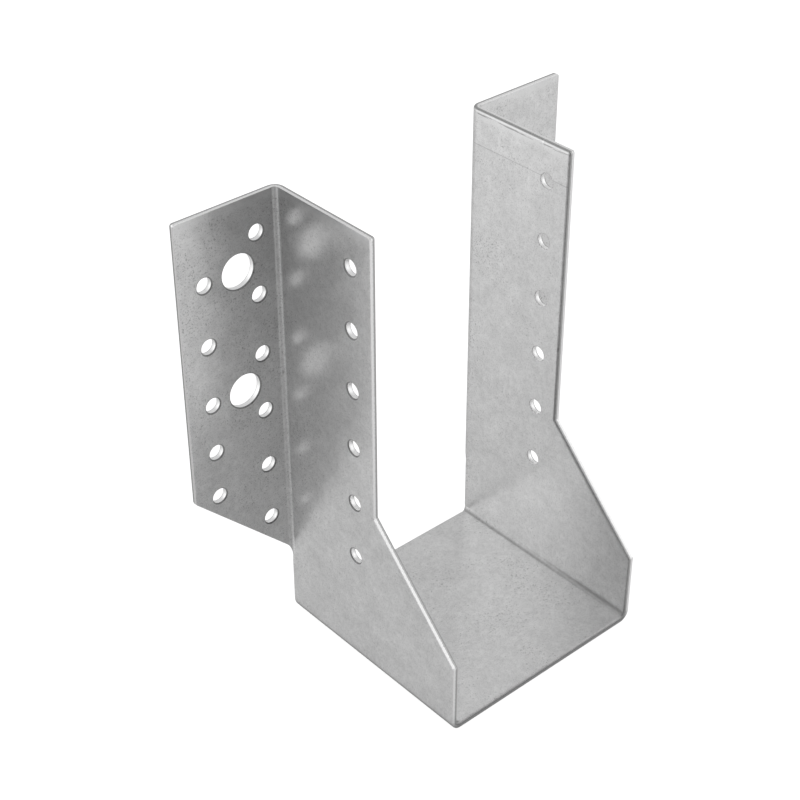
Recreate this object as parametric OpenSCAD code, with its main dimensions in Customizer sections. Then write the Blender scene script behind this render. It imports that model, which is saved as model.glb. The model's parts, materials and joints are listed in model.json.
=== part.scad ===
// Joist hanger with outward flanges. One sheet is cut to outline, punched and folded:
// a seat, two walls with a sloping front cut, and a flange bent out from the rear edge of each wall.
// The seat's underside lies on z = 0 and x = 0 is halfway between the walls.
// The flanges' rear faces, which bear on the header, lie on y = seat_depth / 2.

/* [Sheet] */
// Thickness of the sheet
sheet_t = 2; // [1.5:0.1:3]
// Radius on the inside of each fold
fold_r = 1.5; // [0.8:0.1:3]

/* [Stirrup] */
// Clear width between the walls
joist_w = 73; // [45:1:140]
// Overall height
hanger_h = 153.5; // [130:0.5:220]
// Reach of the seat in front of the header
seat_depth = 77; // [66:1:110]
// Reach of the walls above the sloping cut
wall_depth = 42; // [34:1:55]
// Height of the upright front edge below the sloping cut
lip_h = 25; // [12:1:40]
// Slope of the front cut above level, in degrees
front_slope = 45; // [35:1:55]
// Gap between the header and the walls' rear edge below the flanges
wall_gap = 2; // [1:0.1:3]
// Gap between the header and the seat's rear edge
seat_gap = 3; // [2:0.1:6]

/* [Flanges] */
// Width of each flange beyond the wall's outer face
flange_w = 34.5; // [32:0.5:45]
// Height at which the flange's lower edge starts from the wall
flange_foot = 25.3; // [20:0.1:34]
// Slope of the flange's lower edge above level, in degrees
flange_slope = 45; // [35:1:50]
// Radius in the notch between the flange's lower edge and the wall's rear edge
notch_r = 7; // [4:0.5:9]

/* [Nail holes] */
// Diameter of the nail holes
nail_d = 5; // [4:0.1:6]
// Pitch of the nail holes up a column
nail_pitch = 20; // [17:1:24]
// Top edge to the first hole of the flange's inner column
flange_nail_top = 12; // [8:0.1:14]
// Wall's outer face to the flange's inner column
flange_nail_x = 7.3; // [7:0.1:8.5]
// Flange's outer edge to its outer column
flange_nail_edge = 8.7; // [7:0.1:9]
// Flange's lower edge up to its outer column's lowest hole, and the least above it in the inner one
low_nail_rise = 7.7; // [6:0.1:12]
// Lowest hole of the outer column to the next one up
outer_low_pitch = 16; // [12:1:18]
// Top edge to the first hole in the wall
wall_nail_top = 12.4; // [8:0.1:14]
// Wall's front edge to its column of holes
wall_nail_edge = 8.5; // [7:0.5:12]

/* [Bolt holes] */
// Diameter of the bolt holes
bolt_d = 11; // [9:0.5:12]
// Wall's outer face to the bolt holes
bolt_x = 14.2; // [13:0.1:15]
// Bolt holes in each flange
bolt_count = 2; // [1:1:2]

/* [Hidden] */
$fn = 64;
steel = [0.72, 0.73, 0.74];

// Past the sheet's faces, so that each cut goes clean through
past = 1;
// Radius on the outside of each fold
bend_r = fold_r + sheet_t;

// Faces and folds, named from the middle outwards and from front to rear
inner_x = joist_w / 2;
outer_x = inner_x + sheet_t;
fold_x = outer_x + fold_r;
edge_x = outer_x + flange_w;
header_y = seat_depth / 2;
front_y = -header_y;
fold_y = header_y - bend_r;
wall_rear_y = header_y - wall_gap;
seat_rear_y = header_y - seat_gap;
upper_front_y = header_y - wall_depth;

// Height where the sloping front cut meets the upper walls
knee_z = lip_h + (seat_depth - wall_depth) * tan(front_slope);
// Height where the notch's curve runs into the wall's rear edge
notch_z = flange_foot - notch_r * tan((90 - flange_slope) / 2);
// Lower edge of the flange, at a distance x from the middle
function flange_low_z(x) = flange_foot + (x - outer_x) * tan(flange_slope);

// Columns of holes in the flange, at their distances from the middle
inner_col_x = outer_x + flange_nail_x;
outer_col_x = edge_x - flange_nail_edge;
// Rows of the flange's inner column from the top down, and one hole in the wall beside each
inner_low = flange_low_z(inner_col_x) + low_nail_rise;
inner_rows = [for (z = hanger_h - flange_nail_top; z >= inner_low; z = z - nail_pitch) z];
wall_rows = [for (z = inner_rows) z + flange_nail_top - wall_nail_top];
// The outer column is half a pitch lower, and closes up to two rows along the sloping edge
outer_top = hanger_h - flange_nail_top - nail_pitch / 2;
outer_low = [for (k = [0, 1]) flange_low_z(outer_col_x) + low_nail_rise + k * outer_low_pitch];
outer_high = [for (z = outer_top; z >= outer_low[1] + outer_low_pitch; z = z - nail_pitch) z];
outer_rows = concat(outer_high, outer_low);
// The bolts sit level with every second hole of the outer column
bolt_rows = [for (k = [0 : bolt_count - 1]) outer_top - 2 * k * nail_pitch];

// Upright rectangle with its two lower corners rounded
module trough_shape(w, h, r) {
    translate([-w / 2, r]) square([w, h - r]);
    translate([r - w / 2, 0]) square([w - 2 * r, h]);
    for (side = [-1, 1]) translate([side * (w / 2 - r), r]) circle(r);
}

// The stirrup seen from the front: two walls, the seat and the folds between them
module stirrup_section() {
    difference() {
        trough_shape(joist_w + 2 * sheet_t, hanger_h, bend_r);
        translate([0, sheet_t]) trough_shape(joist_w, hanger_h + past, fold_r);
    }
}

// The stirrup seen from the side, with its sloping front cut and stepped rear edge
module stirrup_outline() {
    polygon([
        [front_y, -past],
        [wall_rear_y, -past],
        [wall_rear_y, notch_z],
        [fold_y, notch_z],
        [fold_y, hanger_h + past],
        [upper_front_y, hanger_h + past],
        [upper_front_y, knee_z],
        [front_y, lip_h]
    ]);
}

// Cuts the seat's rear edge back from the header, easing out to the walls through the folds
module seat_rear_cut() {
    translate([0, 0, -past]) linear_extrude(bend_r + past)
        polygon([
            [-outer_x, wall_rear_y],
            [-inner_x + fold_r, seat_rear_y],
            [inner_x - fold_r, seat_rear_y],
            [outer_x, wall_rear_y],
            [outer_x, header_y],
            [-outer_x, header_y]
        ]);
}

module stirrup() {
    difference() {
        intersection() {
            translate([0, header_y, 0]) rotate([90, 0, 0])
                linear_extrude(seat_depth) stirrup_section();
            rotate([90, 0, 90]) translate([0, 0, -outer_x - past])
                linear_extrude(2 * (outer_x + past)) stirrup_outline();
        }
        seat_rear_cut();
        for (z = wall_rows)
            translate([-outer_x - past, upper_front_y + wall_nail_edge, z]) rotate([0, 90, 0])
                cylinder(d = nail_d, h = 2 * (outer_x + past));
    }
}

// Plan of the right flange: a short lap on the wall, the fold and the flange itself
module flange_section() {
    translate([inner_x, fold_y - fold_r]) square([sheet_t, fold_r]);
    translate([fold_x, fold_y]) difference() {
        intersection() {
            circle(bend_r);
            translate([-bend_r, 0]) square(bend_r);
        }
        circle(fold_r);
    }
    translate([fold_x, header_y - sheet_t]) square([edge_x - fold_x, sheet_t]);
}

// Fills the corner at p, between sides that leave it along a and b, out to a circle of radius r
module fillet(p, a, b, r) {
    half = acos(a * b) / 2;
    run = r / tan(half);
    centre = p + (a + b) / norm(a + b) * r / sin(half);
    difference() {
        polygon([p - (a + b) * sheet_t, p + a * run, centre, p + b * run]);
        translate(centre) circle(r);
    }
}

// The right flange seen from the front, with its sloping lower edge and the notch at the wall
module flange_outline() {
    polygon([
        [inner_x - past, notch_z],
        [outer_x, notch_z],
        [outer_x, flange_foot],
        [edge_x, flange_low_z(edge_x)],
        [edge_x, hanger_h],
        [inner_x - past, hanger_h]
    ]);
    fillet([outer_x, flange_foot], [0, -1], [cos(flange_slope), sin(flange_slope)], notch_r);
}

// Rounds the fold's foot from the wall's rear edge up to the flange's lower edge
module fold_foot_cut() {
    rise = flange_low_z(fold_x) - notch_z;
    r = (rise * rise + wall_gap * wall_gap) / (2 * wall_gap);
    translate([inner_x - past, wall_rear_y + r, notch_z]) rotate([0, 90, 0])
        cylinder(r = r, h = fold_x - inner_x + past);
}

// Holes through the right flange, one at each height in rows
module flange_holes(x, rows, d) {
    for (z = rows)
        translate([x, header_y + past, z]) rotate([90, 0, 0])
            cylinder(d = d, h = sheet_t + 2 * past);
}

module flange() {
    difference() {
        intersection() {
            linear_extrude(hanger_h) flange_section();
            translate([0, header_y + past, 0]) rotate([90, 0, 0])
                linear_extrude(2 * bend_r + 2 * past) flange_outline();
        }
        fold_foot_cut();
        flange_holes(inner_col_x, inner_rows, nail_d);
        flange_holes(outer_col_x, outer_rows, nail_d);
        flange_holes(outer_x + bolt_x, bolt_rows, bolt_d);
    }
}

module hanger() {
    color(steel) {
        stirrup();
        flange();
        mirror([1, 0, 0]) flange();
    }
}

hanger();
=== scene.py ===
# Joist hanger: one galvanised sheet, cut to outline, punched and folded
import bpy
import bmesh
import json
from math import radians, pi, sin, cos, tan
from mathutils import Matrix, Vector

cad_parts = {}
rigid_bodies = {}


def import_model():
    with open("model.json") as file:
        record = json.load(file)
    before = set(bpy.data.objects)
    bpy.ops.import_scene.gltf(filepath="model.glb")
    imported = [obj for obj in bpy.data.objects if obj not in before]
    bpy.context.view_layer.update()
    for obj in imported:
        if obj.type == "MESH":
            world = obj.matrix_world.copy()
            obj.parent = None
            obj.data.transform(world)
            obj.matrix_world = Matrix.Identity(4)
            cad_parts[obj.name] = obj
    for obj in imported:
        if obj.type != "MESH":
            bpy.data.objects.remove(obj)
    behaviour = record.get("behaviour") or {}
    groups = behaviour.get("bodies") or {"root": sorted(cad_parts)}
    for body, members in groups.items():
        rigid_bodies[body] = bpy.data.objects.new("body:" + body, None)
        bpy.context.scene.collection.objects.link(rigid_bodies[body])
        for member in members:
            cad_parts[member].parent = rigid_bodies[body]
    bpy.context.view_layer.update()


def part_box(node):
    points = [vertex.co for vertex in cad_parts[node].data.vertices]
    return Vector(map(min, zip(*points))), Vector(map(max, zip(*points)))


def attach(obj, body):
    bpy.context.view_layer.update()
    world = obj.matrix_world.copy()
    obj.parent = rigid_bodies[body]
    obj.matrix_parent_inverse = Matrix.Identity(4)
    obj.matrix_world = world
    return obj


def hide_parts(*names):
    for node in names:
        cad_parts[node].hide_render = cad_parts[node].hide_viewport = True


bpy.ops.object.select_all(action="SELECT")
bpy.ops.object.delete()
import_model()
boxLow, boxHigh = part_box("hanger")
mm = 0.001

bpy.ops.object.select_all(action="DESELECT")

# Tolerances in mm: for points that lie on a plane, at the end of a rolled edge and round a hole
onPlane = 0.001
atEnd = 0.01
roundHole = 0.05


# Camera, at the photograph's angle

view = {
    "azimuth": -41.35,  # degrees round from the front, towards the left
    "elevation": 34.67,
    "roll": -0.13,
    "lookAt": (0, 8.5, 70),  # mm
    "aside": -13.21,  # mm that the camera steps to its right
    "above": 7.05,  # mm that it steps up
    "distance": 532.8,  # mm
    "lens": 78.78,  # mm, for the sensor below
    "sensor": 36,
    "nearest": 10,  # mm, where the view begins
}


def addCamera():
    around, up, roll = (radians(view[k]) for k in ("azimuth", "elevation", "roll"))
    back = Vector((sin(around) * cos(up), -cos(around) * cos(up), sin(up)))
    turn = back.to_track_quat("Z", "Y").to_matrix() @ Matrix.Rotation(roll, 3, "Z")
    step = turn @ Vector((view["aside"], view["above"], view["distance"]))
    bpy.ops.object.camera_add(location=(Vector(view["lookAt"]) + step) * mm, rotation=turn.to_euler())
    camera = bpy.context.object
    camera.name = "photoCamera"
    camera.data.lens = view["lens"]
    camera.data.sensor_width = view["sensor"]
    camera.data.clip_start = view["nearest"] * mm
    bpy.context.scene.camera = camera
    print("camera placed")


addCamera()


# The sheet, in mm. Across the blank runs s, from the middle of the seat out and up each wall,
# and front to rear runs y, through the wall into its flange. Depth goes from the joist's side, 0,
# to the outside, where the press tool broke through.

sheet = {
    "thickness": 2,
    "foldRadius": 1.5,  # inside the fold
    "neutral": 0.4,  # share of the thickness down to the layer that keeps its length
    "innerWidth": 73,
    "wallDepth": 42,
    "lipHeight": 25,
    "frontSlope": 45,  # degrees
    "wallGap": 2,  # header to the walls' rear edge
    "seatGap": 3,  # header to the seat's rear edge
    "flangeFoot": 25.3,
    "flangeSlope": 45,  # degrees
    "notchRadius": 6,
    "notchSteps": 10,
    "notchEase": 5,  # length of wall over which the fold runs out below the notch
    "easeSteps": 4,
    "leastFold": 0.0001,  # share of the fold kept below that, so that its radius stays finite
    "cornerRadius": 0.85,  # square corners of the outline
    "bluntCorner": 0.4,  # how far the blunter ones are cut back
    "kneeCorner": 0.15,
    "kneeReach": 10,  # a knee is at least this far from the wall's top, along the blank
    "squareTurn": (60, 120),  # degrees that the outline turns at a square corner
    "bluntTurn": (30, 60),
    "cornerSteps": 5,
    "rollWidth": 0.8,  # cutting draws the joist's side down along the edges
    "rollDepth": 0.6,
    "rimWidth": 0.38,  # punching draws the outside down round the holes
    "rimDepth": 0.4,
    "burrWidth": 0.3,  # the far side keeps a faint, rubbed burr
    "burrDepth": 0.06,
    "rollSteps": 7,
    "foldSteps": 12,
    "holeSides": 56,
    "punchLength": 3,  # thicknesses
    "sharpTurn": 30,  # degrees from which an edge between a face and a cut is rolled
    "smoothTurn": 35,  # degrees up to which the light runs over an edge smoothly
    "sideDepth": 0.1,  # of the flanges' outer edges that is marked for their painted shade
    "weld": 0.0001,  # mm within which points become one
}
holes = {
    "nail": 5,  # diameter
    "bolt": 11,
    "pitch": 20,
    "rows": 6,  # in the wall, and in the flange's column beside it
    "wallColumn": 8.5,  # from the wall's front edge
    "wallTop": 12.4,  # from the top edge to the wall's first row
    "innerColumn": 7.3,  # from the wall's outer face
    "innerTop": 12,
    "outerColumn": 8.7,  # from the flange's outer edge
    "outerHigh": 3,  # rows at the full pitch, half a pitch below the inner column's
    "outerRise": 7.7,  # from the flange's lower edge to the outer column's lowest row
    "lowPitch": 16,
    "boltColumn": 14.2,  # from the wall's outer face, level with every second high row
}

thick = sheet["thickness"]
bendRadius = sheet["foldRadius"] + thick
innerX = sheet["innerWidth"] / 2
outerX = innerX + thick
seatEnd = innerX - sheet["foldRadius"]  # where the seat's fold begins
flangeStart = outerX + sheet["foldRadius"]  # where the flange's fold ends
edgeX = boxHigh.x / mm
headerY = boxHigh.y / mm
frontY = boxLow.y / mm
topZ = boxHigh.z / mm
foldY = headerY - bendRadius
upperFrontY = headerY - sheet["wallDepth"]
wallRearY = headerY - sheet["wallGap"]
seatRearY = headerY - sheet["seatGap"]
neutral = sheet["foldRadius"] + sheet["neutral"] * thick  # radius of the layer that keeps its length
foldRun = neutral * pi / 2
kneeZ = sheet["lipHeight"] + (upperFrontY - frontY) * tan(radians(sheet["frontSlope"]))


def upWall(z):
    return seatEnd + foldRun + z - bendRadius


def outFlange(x):
    return foldY + foldRun + x - flangeStart


def flangeLow(x):
    return sheet["flangeFoot"] + (x - outerX) * tan(radians(sheet["flangeSlope"]))


def notchArc():
    # round corner between the flange's lower edge and the wall's rear edge, as (s, y)
    slope = radians(sheet["flangeSlope"])
    sweep = pi / 2 - slope
    radius, steps = sheet["notchRadius"], sheet["notchSteps"]
    cornerS = upWall(flangeLow(flangeStart)) - (outFlange(flangeStart) - wallRearY) * tan(slope)
    centreS = cornerS - radius / tan((pi - sweep) / 2)
    centreY = wallRearY + radius
    arc = []
    for k in range(steps + 1):
        turn = sweep * (1 - k / steps)
        arc.append((centreS + radius * sin(turn), centreY - radius * cos(turn)))
    return arc


notchEnd = notchArc()[-1][0]  # where the notch runs into the wall's rear edge, along s


def blankOutline():
    half = [
        (upWall(sheet["lipHeight"]), frontY),
        (upWall(kneeZ), upperFrontY),
        (upWall(topZ), upperFrontY),
        (upWall(topZ), outFlange(edgeX)),
        (upWall(flangeLow(edgeX)), outFlange(edgeX)),
        *notchArc(),
        (seatEnd + foldRun, wallRearY),
        (seatEnd, seatRearY),
    ]
    return half + [(-s, y) for s, y in reversed(half)]


def holeCentres():
    # (s, y, diameter) of every hole in the blank, column by column
    columnX = edgeX - holes["outerColumn"]
    wallRows = [topZ - holes["wallTop"] - holes["pitch"] * k for k in range(holes["rows"])]
    innerRows = [topZ - holes["innerTop"] - holes["pitch"] * k for k in range(holes["rows"])]
    highRows = [z - holes["pitch"] / 2 for z in innerRows[: holes["outerHigh"]]]
    lowest = flangeLow(columnX) + holes["outerRise"]
    columns = [
        (wallRows, upperFrontY + holes["wallColumn"], holes["nail"]),
        (innerRows, outFlange(outerX + holes["innerColumn"]), holes["nail"]),
        (highRows + [lowest + holes["lowPitch"], lowest], outFlange(columnX), holes["nail"]),
        (highRows[::2], outFlange(outerX + holes["boltColumn"]), holes["bolt"]),
    ]
    right = [(upWall(z), y, d) for rows, y, d in columns for z in rows]
    return right + [(-s, y, d) for s, y, d in right]


holeSpots = holeCentres()


def overHole(s, y, margin):
    return any((s - hs) ** 2 + (y - hy) ** 2 < (d / 2 + margin) ** 2 for hs, hy, d in holeSpots)


def selectEdges(piece, wanted):
    bpy.ops.mesh.select_mode(type="EDGE")
    bpy.ops.mesh.select_all(action="DESELECT")
    form = bmesh.from_edit_mesh(piece.data)
    found = [e for e in form.edges if wanted(e)]
    for e in found:
        e.select_set(True)
    bmesh.update_edit_mesh(piece.data)


def isCorner(e, turn):
    upright = abs((e.verts[0].co - e.verts[1].co).z) > thick * mm / 2
    return upright and radians(turn[0]) < e.calc_face_angle() < radians(turn[1])


def atKnee(e):
    s, y = e.verts[0].co.x / mm, e.verts[0].co.y / mm
    return abs(y - upperFrontY) < roundHole and abs(s) < upWall(topZ) - sheet["kneeReach"]


def cutBlank():
    outline = [(s * mm, y * mm, 0) for s, y in blankOutline()]
    data = bpy.data.meshes.new("hangerSheet")
    data.from_pydata(outline, [], [range(len(outline))])
    blank = bpy.data.objects.new("hangerSheet", data)
    bpy.context.collection.objects.link(blank)
    bpy.context.view_layer.objects.active = blank
    blank.select_set(True)
    bpy.ops.object.mode_set(mode="EDIT")
    bpy.ops.mesh.select_all(action="SELECT")
    bpy.ops.mesh.extrude_region_move(TRANSFORM_OT_translate={"value": (0, 0, thick * mm)})
    bpy.ops.mesh.select_all(action="SELECT")
    bpy.ops.mesh.normals_make_consistent(inside=False)
    corners = [
        (sheet["cornerRadius"], lambda e: isCorner(e, sheet["squareTurn"])),
        (sheet["bluntCorner"], lambda e: isCorner(e, sheet["bluntTurn"]) and not atKnee(e)),
        (sheet["kneeCorner"], lambda e: isCorner(e, sheet["bluntTurn"]) and atKnee(e)),
    ]
    for cutBack, wanted in corners:
        selectEdges(blank, wanted)
        bpy.ops.mesh.bevel(offset=cutBack * mm, segments=sheet["cornerSteps"], affect="EDGES")
    bpy.ops.object.mode_set(mode="OBJECT")
    print("blank cut to outline")
    return blank


def punchHoles(blank):
    bpy.ops.object.select_all(action="DESELECT")
    punches = []
    length = sheet["punchLength"] * thick * mm
    for s, y, d in holeSpots:
        place = (s * mm, y * mm, thick / 2 * mm)
        bpy.ops.mesh.primitive_cylinder_add(
            vertices=sheet["holeSides"], radius=d / 2 * mm, depth=length, location=place
        )
        punches.append(bpy.context.object)
    for punch in punches:
        punch.select_set(True)
    bpy.ops.object.join()
    punch = bpy.context.object
    bpy.ops.object.select_all(action="DESELECT")
    blank.select_set(True)
    bpy.context.view_layer.objects.active = blank
    cut = blank.modifiers.new("punching", "BOOLEAN")
    cut.object = punch
    cut.operation = "DIFFERENCE"
    cut.solver = "EXACT"
    bpy.ops.object.modifier_apply(modifier=cut.name)
    bpy.data.objects.remove(punch)
    print("punched", len(punches), "holes")


def nearHole(e):
    middle = (e.verts[0].co + e.verts[1].co) / 2 / mm
    return overHole(middle.x, middle.y, roundHole)


def onFace(e, z):
    flat = all(abs(v.co.z - z * mm) < onPlane * mm for v in e.verts)
    return flat and e.calc_face_angle() > radians(sheet["sharpTurn"])


def drawDown(blank, name, face, wanted):
    # rounds the edges of the sheet's face at that height, then makes the rounding as deep as named
    width, deep = sheet[name + "Width"], sheet[name + "Depth"]
    inwards = 1 if face == 0 else -1
    selectEdges(blank, lambda e: onFace(e, face) and wanted(e))
    bpy.ops.mesh.bevel(
        offset=width * mm,
        segments=sheet["rollSteps"],
        affect="EDGES",
        clamp_overlap=False,
        loop_slide=False,
    )
    form = bmesh.from_edit_mesh(blank.data)
    for v in form.verts:
        inside = abs(face - v.co.z / mm)
        if v.select and onPlane < inside < width + onPlane:
            v.co.z = (face + inwards * inside * deep / width) * mm
    bmesh.update_edit_mesh(blank.data)
    print(name, "drawn down")


def rollEdges(blank):
    bpy.ops.object.mode_set(mode="EDIT")
    drawDown(blank, "roll", thick, lambda e: not nearHole(e))
    drawDown(blank, "rim", 0, nearHole)
    drawDown(blank, "burr", 0, lambda e: not nearHole(e))
    drawDown(blank, "burr", thick, nearHole)
    bpy.ops.object.mode_set(mode="OBJECT")


def addFoldLines(blank):
    bpy.ops.object.mode_set(mode="EDIT")
    bpy.ops.mesh.select_mode(type="FACE")
    steps = [k / sheet["foldSteps"] for k in range(sheet["foldSteps"] + 1)]
    lines = [((0, foldY + foldRun * k, 0), (0, 1, 0)) for k in steps]
    easing = [k / sheet["easeSteps"] for k in range(sheet["easeSteps"] + 1)]
    for side in (-1, 1):
        lines += [((side * (seatEnd + foldRun * k), 0, 0), (1, 0, 0)) for k in steps]
        lines += [((side * (notchEnd - sheet["notchEase"] * k), 0, 0), (1, 0, 0)) for k in easing]
    for place, normal in lines:
        bpy.ops.mesh.select_all(action="SELECT")
        middle = [v * mm for v in place]
        bpy.ops.mesh.bisect(plane_co=middle, plane_no=normal, threshold=sheet["weld"] * mm)
    bpy.ops.object.mode_set(mode="OBJECT")
    print("fold lines marked")


def flangeShare(s):
    # of the flange's fold, from none below the notch to the whole fold above it
    ease = (abs(s) - notchEnd + sheet["notchEase"]) / sheet["notchEase"]
    ease = min(max(ease, 0), 1)
    return ease * ease * (3 - 2 * ease)


def foldPoint(co):
    # folds the flange out from the wall first, where the point lies past its fold, then the wall up
    s, y, depth = abs(co.x / mm), co.y / mm, thick - co.z / mm
    side = -1 if co.x < 0 else 1
    keeps = bendRadius - neutral  # depth of the layer that keeps its length, where the flange folds
    share = max(flangeShare(s), sheet["leastFold"])
    out, past = depth, y - foldY
    if past > 0:
        rate = share / neutral
        turn = min(past, foldRun) * rate
        beyond = max(past - foldRun, 0)
        out = keeps + (1 - cos(turn)) / rate + (depth - keeps) * cos(turn) + beyond * sin(turn)
        y = foldY + sin(turn) / rate - (depth - keeps) * sin(turn) + beyond * cos(turn)
    turn = min(max(s - seatEnd, 0), foldRun) / neutral
    reach = sheet["foldRadius"] + out
    x = min(s, seatEnd) + reach * sin(turn)
    z = bendRadius - reach * cos(turn) + max(s - seatEnd - foldRun, 0)
    return Vector((side * x, y, z)) * mm


# Marks on the sheet's points, for its finish and its painted shade
sheetMarks = (
    "sheetDepth",  # share of the thickness, from the joist's side
    "bareCut",
    "holeWall",
    "drawnEdge",  # 0 to 1 down a rolled edge, and 1 to 2 down a rim
    "burrEdge",  # round the holes only
    "foldHollow",  # most halfway round the seat's folds, on the joist's side, where shade is painted in the crease
    "foldStretch",  # most halfway round the flanges' folds
    "sideCut",  # the flanges' outer edges, which carry painted shade
)


def markSheet(blank):
    for name in sheetMarks:
        blank.data.attributes.new(name, "FLOAT", "POINT")
    marks = {name: blank.data.attributes[name].data for name in sheetMarks}
    for i, v in enumerate(blank.data.vertices):
        depth = thick - v.co.z / mm
        s, y = v.co.x / mm, v.co.y / mm
        inHole = overHole(s, y, sheet["rimWidth"] + atEnd)
        # how far the point lies below the face that the cut draws down, and how deep that reaches
        drawn, reach = (thick - depth, sheet["rimDepth"]) if inHole else (depth, sheet["rollDepth"])
        burrStart = thick - sheet["burrDepth"]
        rolled = onPlane < drawn < reach + atEnd
        seatTurn = min(max((abs(s) - seatEnd) / foldRun, 0), 1)
        flangeTurn = min(max((y - foldY) / foldRun, 0), 1)
        marks["sheetDepth"][i].value = depth / thick
        marks["bareCut"][i].value = reach - atEnd < drawn < burrStart + atEnd
        marks["holeWall"][i].value = inHole and reach - atEnd < drawn < thick - onPlane
        marks["drawnEdge"][i].value = (drawn / reach + inHole) if rolled else 0
        marks["burrEdge"][i].value = inHole and burrStart - atEnd < drawn < thick - onPlane
        marks["foldHollow"][i].value = sin(pi * seatTurn) * (1 - depth / thick)
        marks["foldStretch"][i].value = sin(pi * flangeTurn) * flangeShare(s)
        marks["sideCut"][i].value = y > outFlange(edgeX) - sheet["sideDepth"]


def foldSheet(blank):
    markSheet(blank)
    for v in blank.data.vertices:
        v.co = foldPoint(v.co)
    bpy.ops.object.mode_set(mode="EDIT")
    bpy.ops.mesh.select_all(action="SELECT")
    bpy.ops.mesh.remove_doubles(threshold=sheet["weld"] * mm)
    bpy.ops.object.mode_set(mode="OBJECT")
    bpy.ops.object.shade_smooth_by_angle(angle=radians(sheet["smoothTurn"]))
    even = blank.modifiers.new("flatFaces", "WEIGHTED_NORMAL")
    even.keep_sharp = True
    even.weight = 100
    bpy.ops.object.modifier_apply(modifier=even.name)
    print("sheet folded:", len(blank.data.vertices), "points,", len(blank.data.polygons), "faces")


# Finish: the zinc, with its mottle, its cuts and the rubbed band as node groups

zinc = {
    "colour": (0.76, 0.76, 0.76),
    # sizes in mm of the noises' patches, and between which values each noise runs from none to full
    "cloudSize": 9,
    "cloudSpan": (0.3, 0.7),
    "grainSize": 1.7,
    "grainSpan": (0.25, 0.75),
    "pepperSize": 0.4,
    "pepperSpan": (0.22, 0.52),  # the noise's low end is the dark one
    "fleckSize": 0.7,
    "fleckSpan": 0.1,
    "gatherScale": 0.06,  # places for each mm where the flecks gather
    "gatherSpan": (0.35, 0.65),
    "fleckFloor": (0.71, 0.6),  # level that their noise has to pass, away from those places and there
    "rearSpan": (15, 36),  # mm from the middle towards the header, over which there are more flecks
    "rearFlecks": 0.06,  # taken from that level
    "seatSpan": (0.1, 1),  # mm above the seat, over which the seat's flecks end
    "seatFlecks": 0.045,
    "waveSize": 30,
    "waveHeight": 0.02,  # mm
    "grainHeight": 0.004,
    # shares of the colour that each mark takes or adds
    "cloudTone": 0.06,
    "grainTone": 0.19,
    "pepperTone": 0.22,
    "fleckTone": 0.34,
    "rubTone": 0.05,
    # painted shade: darkening on the rolled edges, the hole rims, the top edge's roll and the seat's
    # fold hollows
    "drawnShadeTone": 0.34,
    "rimShadeTone": 0.28,
    "topShadeTone": 0.16,
    "hollowShadeTone": 0.5,
    "sideShadeTone": 0.3,  # painted shade on the flanges' outer cut edges
    "burrTone": 0.55,
    "scribeTone": 0.2,
    "bandTone": 0.03,
    "scuffTone": 0.45,
    "nickTone": 0.2,
    # bare metal's tones against the zinc's colour
    "burnishTone": 0.66,
    "brokenTone": 1.26,
    "streakTone": 0.06,
    "holeTone": 1.31,
    # roughness: the zinc's own, between the clouds and in them, then where it was worked
    "smooth": 0.275,
    "rough": 0.295,
    "foldRough": 0.5,
    "drawnRough": 0.65,
    "burnishRough": 0.45,
    "brokenRough": 0.4,
    # how marks set in along the values that the sheet's points carry
    "drawnSpan": 0.4,
    "rimSpan": 0.3,
    "cutSpan": (0.85, 0.95),
    "burrSpan": (0.8, 0.95),
    "burrPatch": (0.2, 0.8),
    "burrLeast": 0.3,
    # bare cuts: depths are shares of the thickness
    "breakDepth": 0.55,
    "breakRagged": 0.08,
    "breakSpan": 0.06,
    "breakLean": 0.1,  # mm that a broken edge falls back for each mm of depth
    "streakSize": 0.5,  # mm
    "streakSpan": (0.3, 0.7),
    # band rubbed smooth along the top edge
    "rubWidth": 3.2,  # mm
    "rubSpan": (0.9, 1.5),  # widths down, over which it ends
    "rubCalm": 0.35,  # share of the grain that it leaves
    "wanderScale": 0.12,  # bends of its lower border for each mm
    "wanderReach": 2.4,  # mm
    # marks on the right wall, in mm
    "skin": (-0.01, 0.3),  # where they lie, outwards from its inner face
    "scribeHeight": 142.2,
    "scribeWidth": 0.2,
    "bandSpan": 0.4,
    "scuffScale": (60, 170, 1500),  # patches for each metre, along each axis
    "scuffSpan": (0.44, 0.56),
    "scuffDrop": 1.2,  # below the top edge
    "scuffWidth": 0.35,
    "nickPlace": 7.3,  # along the wall's top edge
    "nickWidth": 0.3,
    "nickDrop": 1.6,
    "topDrop": 1,  # of the whole sheet's top edge, whose rolled edge gets a deeper painted shade
}


def nodeGroup(name, inputs, outputs):
    group = bpy.data.node_groups.new(name, "ShaderNodeTree")
    for label, kind in inputs:
        group.interface.new_socket(name=label, in_out="INPUT", socket_type="NodeSocket" + kind)
    for label, kind in outputs:
        group.interface.new_socket(name=label, in_out="OUTPUT", socket_type="NodeSocket" + kind)
    return group, group.nodes.new("NodeGroupInput"), group.nodes.new("NodeGroupOutput")


def placeGroup(tree, group, links, **values):
    node = tree.nodes.new("ShaderNodeGroup")
    node.node_tree = group
    for label, source in links.items():
        tree.links.new(source, node.inputs[label])
    for label, value in values.items():
        node.inputs[label.replace("_", " ")].default_value = value
    return node.outputs


def addNode(tree, kind, settings=None, **values):
    node = tree.nodes.new("ShaderNode" + kind)
    for k, v in (settings or {}).items():
        setattr(node, k, v)
    for k, v in values.items():
        node.inputs[k.replace("_", " ")].default_value = v
    return node


def feed(tree, node, sources):
    # links each source to the node's input of that number, or sets it there where it is a number
    for i, source in sources.items():
        if isinstance(source, (int, float)):
            node.inputs[i].default_value = source
        else:
            tree.links.new(source, node.inputs[i])
    return node.outputs[0]


def combine(tree, operation, a, b):
    return feed(tree, addNode(tree, "Math", {"operation": operation}), {0: a, 1: b})


def mixIn(tree, share, a, b):
    return feed(tree, addNode(tree, "Mix", {"data_type": "FLOAT"}), {0: share, 2: a, 3: b})


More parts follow.
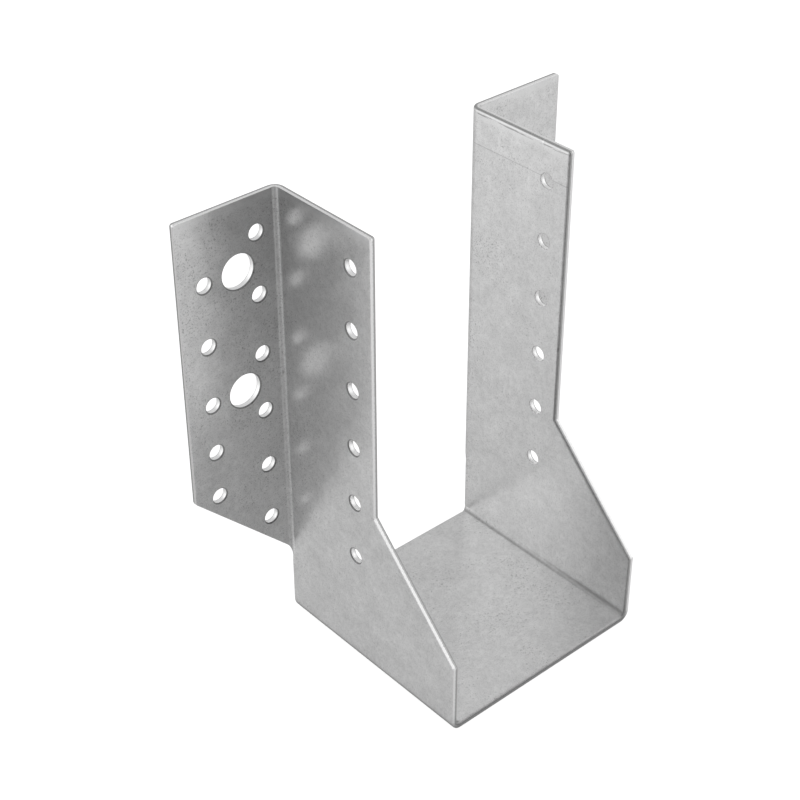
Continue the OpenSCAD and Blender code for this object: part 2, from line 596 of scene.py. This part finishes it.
def mixShaders(tree, share, a, b):
    return feed(tree, addNode(tree, "MixShader"), {0: share, 1: a, 2: b})


def remap(tree, source, span, low, high, smooth=False):
    # low where the source is at the span's first value, high at its second
    node = addNode(tree, "MapRange", {"interpolation_type": "SMOOTHSTEP" if smooth else "LINEAR"})
    for k, v in (("From Min", span[0]), ("From Max", span[1]), ("To Min", low), ("To Max", high)):
        node.inputs[k].default_value = v
    tree.links.new(source, node.inputs["Value"])
    return node.outputs["Result"]


def darken(tree, tone, mask, share):
    return combine(tree, "MULTIPLY", tone, remap(tree, mask, (0, 1), 1, 1 - share))


def axes(tree, place):
    split = addNode(tree, "SeparateXYZ")
    tree.links.new(place, split.inputs[0])
    return split.outputs


def inMillimetres(tree, place):
    scaled = addNode(tree, "VectorMath", {"operation": "SCALE"}, Scale=1 / mm)
    tree.links.new(place, scaled.inputs[0])
    return scaled.outputs[0]


def noise(tree, place, scale, detail=2, rough=0.5, distortion=0):
    node = addNode(tree, "TexNoise", Scale=scale, Detail=detail, Roughness=rough, Distortion=distortion)
    tree.links.new(place, node.inputs["Vector"])
    return node.outputs["Fac"]


def sizedNoise(group, place, size, detail, rough, distortion=0):
    # noise whose patches are about as wide as size, in mm
    node = addNode(group, "TexNoise", Detail=detail, Roughness=rough, Distortion=distortion)
    group.links.new(place, node.inputs["Vector"])
    group.links.new(combine(group, "DIVIDE", 1, size), node.inputs["Scale"])
    return node.outputs["Fac"]


def makeMottle():
    # clouds, a grain, a finer one like pepper, and dark flecks that gather in places, on the seat
    # and towards the rear
    group, take, give = nodeGroup(
        "zincMottle",
        [
            ("Place", "Vector"),
            ("Cloud Size", "Float"),
            ("Grain Size", "Float"),
            ("Pepper Size", "Float"),
            ("Fleck Size", "Float"),
        ],
        [("Cloud", "Float"), ("Grain", "Float"), ("Pepper", "Float"), ("Fleck", "Float")],
    )
    place = inMillimetres(group, take.outputs["Place"])
    cloud = sizedNoise(group, place, take.outputs["Cloud Size"], 4, 0.6, 0.4)
    group.links.new(remap(group, cloud, zinc["cloudSpan"], 0, 1), give.inputs["Cloud"])
    grain = sizedNoise(group, place, take.outputs["Grain Size"], 2, 0.7)
    group.links.new(remap(group, grain, zinc["grainSpan"], 0, 1), give.inputs["Grain"])
    pepper = sizedNoise(group, place, take.outputs["Pepper Size"], 1, 0.6)
    group.links.new(remap(group, pepper, zinc["pepperSpan"], 1, 0, True), give.inputs["Pepper"])

    fleck = sizedNoise(group, place, take.outputs["Fleck Size"], 2, 0.7)
    gather = noise(group, place, zinc["gatherScale"], 2, 0.5, 0.3)
    floor = remap(group, gather, zinc["gatherSpan"], *zinc["fleckFloor"])
    axis = axes(group, place)
    above = [thick + reach for reach in zinc["seatSpan"]]
    rear = remap(group, axis["Y"], zinc["rearSpan"], 0, zinc["rearFlecks"])
    seat = remap(group, axis["Z"], above, zinc["seatFlecks"], 0)
    worn = combine(group, "MAXIMUM", rear, seat)
    over = combine(group, "SUBTRACT", combine(group, "ADD", fleck, worn), floor)
    group.links.new(remap(group, over, (0, zinc["fleckSpan"]), 0, 1, True), give.inputs["Fleck"])
    return group


def makeCutMarks():
    # a bare cut is first burnished by the tool, then broken, and leans away a little where it broke
    group, take, give = nodeGroup(
        "cutMarks",
        [
            ("Place", "Vector"),
            ("Depth", "Float"),
            ("Bare", "Float"),
            ("Break Depth", "Float"),
            ("Streak Size", "Float"),
        ],
        [("Broken", "Float"), ("Streak", "Float"), ("Bare", "Float"), ("Lean", "Float")],
    )
    depth, breakDepth = take.outputs["Depth"], take.outputs["Break Depth"]
    place = inMillimetres(group, take.outputs["Place"])
    streak = sizedNoise(group, place, take.outputs["Streak Size"], 2, 0.6)
    streak = remap(group, streak, zinc["streakSpan"], 0, 1)
    ragged = combine(group, "ADD", depth, combine(group, "MULTIPLY", streak, zinc["breakRagged"]))
    past = combine(group, "SUBTRACT", ragged, breakDepth)
    bare = remap(group, take.outputs["Bare"], zinc["cutSpan"], 0, 1)
    lean = combine(group, "MAXIMUM", combine(group, "SUBTRACT", depth, breakDepth), 0)
    group.links.new(remap(group, past, (0, zinc["breakSpan"]), 0, 1, True), give.inputs["Broken"])
    group.links.new(streak, give.inputs["Streak"])
    group.links.new(bare, give.inputs["Bare"])
    group.links.new(combine(group, "MULTIPLY", lean, bare), give.inputs["Lean"])
    return group


def makeRub():
    # a band along the top edge that the rollers rubbed smooth, with a wandering lower border
    group, take, give = nodeGroup(
        "rubbedBand",
        [("Place", "Vector"), ("Top", "Float"), ("Width", "Float")],
        [("Rub", "Float")],
    )
    place = inMillimetres(group, take.outputs["Place"])
    wander = noise(group, place, zinc["wanderScale"], 3, 0.6)
    wander = combine(group, "MULTIPLY", wander, zinc["wanderReach"])
    down = combine(group, "SUBTRACT", take.outputs["Top"], axes(group, place)["Z"])
    down = combine(group, "DIVIDE", combine(group, "ADD", down, wander), take.outputs["Width"])
    group.links.new(remap(group, down, zinc["rubSpan"], 1, 0, True), give.inputs["Rub"])
    return group


def beyond(tree, along, limit):
    return combine(tree, "GREATER_THAN", along, limit * mm)


def stripe(tree, along, middle, width):
    # full to half a width from its middle, and gone a whole width from it
    away = combine(tree, "ABSOLUTE", combine(tree, "SUBTRACT", along, middle * mm), 0)
    return remap(tree, away, (width * mm / 2, width * mm), 1, 0)


def wallMarks(tree, place):
    # one fine line across the right wall's inside, a lighter band above it, scuffs below the wall's
    # top edge and a bright nick across that edge, then where the whole sheet's top edge is
    x, y, z = axes(tree, place)
    right = beyond(tree, x, innerX + zinc["skin"][0])
    within = combine(tree, "LESS_THAN", x, (innerX + zinc["skin"][1]) * mm)
    inside = combine(tree, "MULTIPLY", right, within)
    line = stripe(tree, z, zinc["scribeHeight"], zinc["scribeWidth"])
    up = combine(tree, "SUBTRACT", z, zinc["scribeHeight"] * mm)
    band = remap(tree, up, (0, zinc["bandSpan"] * mm), 0, 1)

    stretch = addNode(tree, "VectorMath", {"operation": "MULTIPLY"})
    tree.links.new(place, stretch.inputs[0])
    stretch.inputs[1].default_value = zinc["scuffScale"]
    scuff = remap(tree, noise(tree, stretch.outputs[0], 1), zinc["scuffSpan"], 0, 1, True)
    nearTop = stripe(tree, z, topZ - zinc["scuffDrop"], zinc["scuffWidth"])
    scuff = combine(tree, "MULTIPLY", scuff, nearTop)

    nick = stripe(tree, y, zinc["nickPlace"], zinc["nickWidth"])
    nick = combine(tree, "MULTIPLY", nick, beyond(tree, z, topZ - zinc["nickDrop"]))
    nick = combine(tree, "MULTIPLY", nick, right)
    top = beyond(tree, z, topZ - zinc["topDrop"])
    return [combine(tree, "MULTIPLY", mask, inside) for mask in (line, band, scuff)] + [nick, top]


def makeZinc():
    material = bpy.data.materials.new("galvanisedSteel")
    material.use_nodes = True
    tree = material.node_tree
    tree.nodes.clear()
    surface = addNode(tree, "BsdfPrincipled", Metallic=1)
    end = addNode(tree, "OutputMaterial")
    tree.links.new(surface.outputs[0], end.inputs["Surface"])
    place = addNode(tree, "TexCoord").outputs["Object"]
    mark = {}
    for name in sheetMarks:
        mark[name] = addNode(tree, "Attribute", {"attribute_name": name}).outputs["Fac"]
    mottle = placeGroup(
        tree,
        makeMottle(),
        {"Place": place},
        Cloud_Size=zinc["cloudSize"],
        Grain_Size=zinc["grainSize"],
        Pepper_Size=zinc["pepperSize"],
        Fleck_Size=zinc["fleckSize"],
    )
    cut = placeGroup(
        tree,
        makeCutMarks(),
        {"Place": place, "Depth": mark["sheetDepth"], "Bare": mark["bareCut"]},
        Break_Depth=zinc["breakDepth"],
        Streak_Size=zinc["streakSize"],
    )
    rub = placeGroup(tree, makeRub(), {"Place": place}, Top=topZ, Width=zinc["rubWidth"])["Rub"]
    line, band, scuff, nick, top = wallMarks(tree, place)

    # the sheet's faces
    calm = remap(tree, rub, (0, 1), 1, zinc["rubCalm"])
    grain = combine(tree, "MULTIPLY", combine(tree, "SUBTRACT", mottle["Grain"], 0.5), calm)
    tone = remap(tree, mottle["Cloud"], (0, 1), 1 - zinc["cloudTone"], 1 + zinc["cloudTone"])
    tone = combine(tree, "ADD", tone, combine(tree, "MULTIPLY", grain, zinc["grainTone"]))
    tone = darken(tree, tone, combine(tree, "MULTIPLY", mottle["Pepper"], calm), zinc["pepperTone"])
    tone = combine(tree, "ADD", tone, combine(tree, "MULTIPLY", rub, zinc["rubTone"]))
    tone = darken(tree, tone, combine(tree, "MULTIPLY", mottle["Fleck"], calm), zinc["fleckTone"])
    drawn = remap(tree, mark["drawnEdge"], (0, zinc["drawnSpan"]), 0, 1)
    rim = remap(tree, mark["drawnEdge"], (1, 1 + zinc["rimSpan"]), 0, 1)
    # painted shade along the rolled edges, and deeper round the hole rims
    tone = darken(tree, tone, drawn, zinc["drawnShadeTone"])
    tone = darken(tree, tone, rim, zinc["rimShadeTone"])
    # painted shade in the hollow of the seat's folds
    hollow = combine(tree, "MULTIPLY", mark["foldHollow"], remap(tree, drawn, (0, 1), 1, 0))
    tone = darken(tree, tone, hollow, zinc["hollowShadeTone"])
    # painted shade on the rolled edge along the sheet's top
    tone = darken(tree, tone, combine(tree, "MULTIPLY", drawn, top), zinc["topShadeTone"])
    tone = darken(tree, tone, line, zinc["scribeTone"])
    tone = darken(tree, tone, band, -zinc["bandTone"])
    tone = darken(tree, tone, scuff, zinc["scuffTone"])

    # its cuts, over the faces
    bareTone = remap(tree, cut["Broken"], (0, 1), zinc["burnishTone"], zinc["brokenTone"])
    streak = remap(tree, cut["Streak"], (0, 1), 1 - zinc["streakTone"], 1 + zinc["streakTone"])
    bareTone = combine(tree, "MULTIPLY", bareTone, streak)
    # painted shade on the flanges' outer cut edges
    bareTone = darken(tree, bareTone, mark["sideCut"], zinc["sideShadeTone"])
    tone = mixIn(tree, cut["Bare"], tone, bareTone)
    tone = mixIn(tree, remap(tree, mark["holeWall"], zinc["cutSpan"], 0, 1), tone, zinc["holeTone"])
    burr = remap(tree, mark["burrEdge"], zinc["burrSpan"], 0, 1)
    patches = remap(tree, cut["Streak"], zinc["burrPatch"], zinc["burrLeast"], 1)
    tone = darken(tree, tone, combine(tree, "MULTIPLY", burr, patches), zinc["burrTone"])
    tone = darken(tree, tone, nick, -zinc["nickTone"])
    colour = addNode(tree, "VectorMath", {"operation": "SCALE"})
    colour.inputs[0].default_value = zinc["colour"]
    tree.links.new(tone, colour.inputs["Scale"])
    tree.links.new(colour.outputs[0], surface.inputs["Base Color"])

    rough = remap(tree, mottle["Cloud"], (0, 1), zinc["smooth"], zinc["rough"])
    rough = mixIn(tree, mark["foldStretch"], rough, zinc["foldRough"])
    rough = mixIn(tree, drawn, rough, zinc["drawnRough"])
    bareRough = remap(tree, cut["Broken"], (0, 1), zinc["burnishRough"], zinc["brokenRough"])
    tree.links.new(mixIn(tree, cut["Bare"], rough, bareRough), surface.inputs["Roughness"])

    wave = noise(tree, inMillimetres(tree, place), 1 / zinc["waveSize"], 1)
    height = combine(tree, "MULTIPLY", wave, zinc["waveHeight"] * mm)
    height = combine(tree, "ADD", height, combine(tree, "MULTIPLY", grain, zinc["grainHeight"] * mm))
    lean = combine(tree, "MULTIPLY", cut["Lean"], zinc["breakLean"] * thick * mm)
    height = combine(tree, "SUBTRACT", height, lean)
    bump = addNode(tree, "Bump", Strength=1, Distance=1)
    tree.links.new(height, bump.inputs["Height"])
    tree.links.new(bump.outputs[0], surface.inputs["Normal"])
    print("zinc mixed")
    return material


# Floor, with a contact shadow painted for the metal's reflections, and soft studio light

studio = {
    "floorSize": 6,  # m
    "floorDrop": 0.2,  # mm below the seat
    "floorTone": 0.4,
    "floorRough": 0.9,
    "floorGlow": 0.88,  # keeps the floor white to the camera
    # painted contact shadow, seen only in the metal's reflections
    "contactShadowTone": 0.18,
    "contactStart": -2,  # mm out from the hanger's sides
    "contactReach": 4,
    "contactShift": 2,  # mm that the painted shadow falls towards the front
    "skyLevel": 0.605,
    "skyRise": 0.06,  # how much brighter it is overhead than at the horizon
    "skyLeast": 0.05,
    "skySeen": 1,  # white to the camera
    # direction round from +X and up in degrees, cosines where it starts and is full, strength
    "skyPatches": {
        "darkRoom": (-133, 21, 0.58, 0.70, -0.67),  # behind the camera
        "leftSoftbox": (165, 11, 0.51, 0.97, 0.70),
        "frontSoftbox": (-66, 17, 0.47, 1.10, 0.66),
    },
}


def makeContactShadow(tree):
    # the metal sees only a painted contact shadow underneath, and past it the sky's lower half
    place = addNode(tree, "TexCoord").outputs["Object"]
    shift = addNode(tree, "VectorMath", {"operation": "ADD"})
    tree.links.new(place, shift.inputs[0])
    shift.inputs[1].default_value = (0, studio["contactShift"] * mm, 0)
    fold = addNode(tree, "VectorMath", {"operation": "ABSOLUTE"})
    tree.links.new(shift.outputs[0], fold.inputs[0])
    axis = axes(tree, fold.outputs[0])
    outX = combine(tree, "SUBTRACT", axis["X"], outerX * mm)
    outY = combine(tree, "SUBTRACT", axis["Y"], headerY * mm)
    span = (studio["contactStart"] * mm, studio["contactReach"] * mm)
    clear = remap(tree, combine(tree, "MAXIMUM", outX, outY), span, 0, 1, True)
    shade = addNode(tree, "Emission", Strength=studio["contactShadowTone"])
    through = addNode(tree, "BsdfTransparent")
    return mixShaders(tree, clear, shade.outputs[0], through.outputs[0])


def makeFloor():
    drop = -studio["floorDrop"] * mm
    bpy.ops.mesh.primitive_plane_add(size=studio["floorSize"], location=(0, 0, drop))
    floor = bpy.context.object
    floor.name = "paleFloor"
    material = bpy.data.materials.new("palePaper")
    material.use_nodes = True
    tree = material.node_tree
    paper = tree.nodes["Principled BSDF"]
    paper.inputs["Base Color"].default_value = [studio["floorTone"]] * 3 + [1]
    paper.inputs["Roughness"].default_value = studio["floorRough"]
    paper.inputs["Specular IOR Level"].default_value = 0
    paper.inputs["Emission Color"].default_value = (1, 1, 1, 1)
    seen = addNode(tree, "LightPath").outputs["Is Camera Ray"]
    glow = remap(tree, seen, (0, 1), 0, studio["floorGlow"])
    tree.links.new(glow, paper.inputs["Emission Strength"])
    whole = mixShaders(tree, seen, makeContactShadow(tree), paper.outputs[0])
    tree.links.new(whole, tree.nodes["Material Output"].inputs["Surface"])
    floor.data.materials.append(material)
    print("floor laid")


def makeSky():
    sky = bpy.data.worlds.new("softStudio")
    bpy.context.scene.world = sky
    sky.use_nodes = True
    tree = sky.node_tree
    tree.nodes.clear()
    end = addNode(tree, "OutputWorld")
    light = addNode(tree, "Background", Color=(1, 1, 1, 1))
    tree.links.new(light.outputs[0], end.inputs["Surface"])
    aim = addNode(tree, "TexCoord").outputs["Generated"]
    rise = combine(tree, "MULTIPLY", axes(tree, aim)["Z"], studio["skyRise"])
    total = combine(tree, "ADD", rise, studio["skyLevel"])
    for around, up, start, full, strength in studio["skyPatches"].values():
        a, u = radians(around), radians(up)
        dot = addNode(tree, "VectorMath", {"operation": "DOT_PRODUCT"})
        tree.links.new(aim, dot.inputs[0])
        dot.inputs[1].default_value = (cos(a) * cos(u), sin(a) * cos(u), sin(u))
        patch = remap(tree, dot.outputs["Value"], (start, full), 0, strength, True)
        total = combine(tree, "ADD", total, patch)
    total = combine(tree, "MAXIMUM", total, studio["skyLeast"])
    seen = addNode(tree, "LightPath").outputs["Is Camera Ray"]
    tree.links.new(mixIn(tree, seen, total, studio["skySeen"]), light.inputs["Strength"])
    print("sky set")


hanger = cutBlank()
punchHoles(hanger)
rollEdges(hanger)
addFoldLines(hanger)
foldSheet(hanger)
hanger.data.materials.append(makeZinc())
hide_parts("hanger")
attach(hanger, "root")

makeFloor()
makeSky()
bpy.context.scene.view_settings.view_transform = "Standard"
bpy.context.scene.cycles.use_denoising = True
